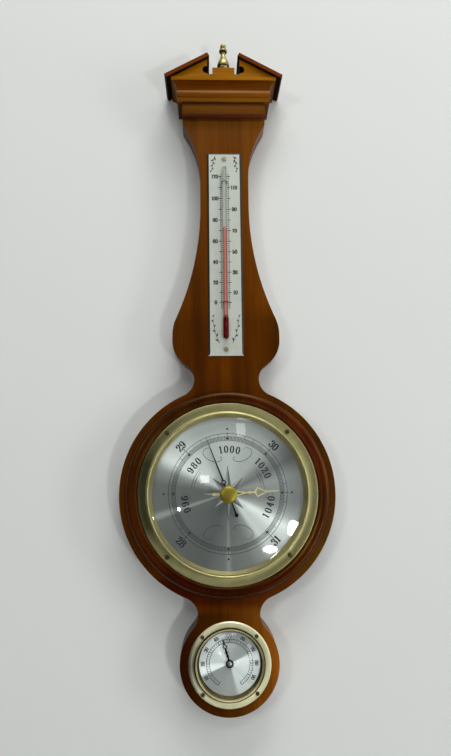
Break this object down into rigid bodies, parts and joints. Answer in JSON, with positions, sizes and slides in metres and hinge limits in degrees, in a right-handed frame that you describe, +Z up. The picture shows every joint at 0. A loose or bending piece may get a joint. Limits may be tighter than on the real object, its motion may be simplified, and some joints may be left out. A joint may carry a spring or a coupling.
{
  "type": "banjo barometer",
  "caption": "Wall-hung banjo barometer: a shaped wooden board with a broken pediment, thermometer, large aneroid dial with set hand, and small hygrometer.",
  "frame": {"origin": "centre of the hanger's keyhole entry, on the plane of the wall", "axes": "+Z up, +Y into the wall, the front faces -Y, +X to the right seen from the front"},
  "size_m": [0.2172, 0.0486, 0.6918],
  "materials": {
    "board_wood": "orange-brown lacquered fruitwood, vertical grain",
    "cornice_wood": "lacquered moulding",
    "surround_wood": "dark red-brown turned and lacquered",
    "satin_brass": "pale satin brass",
    "polished_brass": "polished brass",
    "aged_brass": "dark aged brass",
    "clear_glass": "clear",
    "dial_silver": "spun silvered metal",
    "scale_silver": "satin silvered plate",
    "blued_steel": "blued",
    "black_steel": "black",
    "steel": "bright turned steel",
    "tinplate": "plain tinned case",
    "capsule_metal": "nickel bronze",
    "spring_metal": "blued spring strip",
    "coil_strip": "bronze strip with paper backing",
    "red_spirit": "red-dyed spirit"
  },
  "bodies": {
    "case": {"backboard": "board_wood", "frieze": "board_wood", "cornice_front": "cornice_wood", "cornice_left_return": "cornice_wood", "cornice_right_return": "cornice_wood", "pediment": "board_wood", "left_roof_board": "cornice_wood", "right_roof_board": "cornice_wood", "finial": "polished_brass", "dial_surround": "surround_wood", "barometer_bezel": "satin_brass", "bezel_screws": "aged_brass", "barometer_glass": "clear_glass", "reflector_ring": "polished_brass", "barometer_dial": "dial_silver", "barometer_case": "tinplate", "glass_bush": "polished_brass", "sector_stud": "steel", "shaft_brackets": "satin_brass", "vacuum_capsule": "capsule_metal", "movement_plate": "satin_brass", "plate_spacers": "steel", "movement_screws": "steel", "movement_bridge": "satin_brass", "hairspring": "spring_metal", "hairspring_stud": "steel", "hygrometer_bezel": "satin_brass", "hygrometer_screws": "aged_brass", "hygrometer_glass": "clear_glass", "hygrometer_spacer": "polished_brass", "hygrometer_dial": "dial_silver", "hygrometer_case": "tinplate", "hygrometer_bush": "polished_brass", "humidity_coil": "coil_strip", "coil_post": "steel", "thermometer_plate": "scale_silver", "thermometer_tube": "clear_glass", "spirit_reservoir": "red_spirit", "spirit_column": "red_spirit", "tube_staples": "steel", "thermometer_screws": "steel", "hanger_plate": "steel", "hanger_screws": "steel"},
    "pressure_hand": {"barometer_hand": "blued_steel", "hand_arbor": "steel"},
    "sector": {"toothed_sector": "satin_brass"},
    "rocker": {"rocking_shaft": "steel"},
    "post": {"capsule_post": "steel"},
    "marker": {"set_knob": "polished_brass", "set_hand": "polished_brass"},
    "adjuster": {"adjusting_screw": "steel"},
    "humidity_hand": {"hygrometer_hand": "black_steel", "hygrometer_arbor": "steel"},
    "spirit_level": {"spirit_meniscus": "red_spirit"}
  },
  "joints": [
    {"name": "pressure_turn", "type": "hinge", "parent": "case", "child": "pressure_hand", "pos_m": [0, -0.02, -0.385], "axis": [0, 1, 0], "range_deg": [-114, 156], "stiffness_Nm_per_rad": 0.002, "deforming": ["hairspring"]},
    {"name": "sector_turn", "type": "hinge", "parent": "case", "child": "sector", "pos_m": [0, -0.01, -0.4174], "axis": [0, 1, 0], "range_deg": [-20, 15]},
    {"name": "rocker_turn", "type": "hinge", "parent": "case", "child": "rocker", "pos_m": [-0.02, -0.0205, -0.4174], "axis": [1, 0, 0], "range_deg": [-20, 15]},
    {"name": "post_slide", "type": "slide", "parent": "case", "child": "post", "axis": [0, 1, 0], "range_m": [-0.0009, 0.0012]},
    {"name": "marker_turn", "type": "hinge", "parent": "case", "child": "marker", "pos_m": [0, -0.04, -0.385], "axis": [0, 1, 0], "continuous": true},
    {"name": "adjuster_turn", "type": "hinge", "parent": "case", "child": "adjuster", "pos_m": [-0.034, -0.004, -0.4142], "axis": [0, 1, 0], "continuous": true},
    {"name": "humidity_turn", "type": "hinge", "parent": "case", "child": "humidity_hand", "pos_m": [0, -0.015, -0.5485], "axis": [0, 1, 0], "range_deg": [-135, 165], "stiffness_Nm_per_rad": 0.001, "deforming": ["humidity_coil"]},
    {"name": "spirit_rise", "type": "slide", "parent": "case", "child": "spirit_level", "axis": [0, 0, 1], "range_m": [-0.08, 0.0575], "deforming": ["spirit_column"]}
  ],
  "couplings": [
    {"joint": "sector_turn", "follows": "pressure_turn", "ratio": -0.125},
    {"joint": "rocker_turn", "follows": "pressure_turn", "ratio": -0.125},
    {"joint": "post_slide", "follows": "pressure_turn", "m_per_rad": 0.0004}
  ]
}
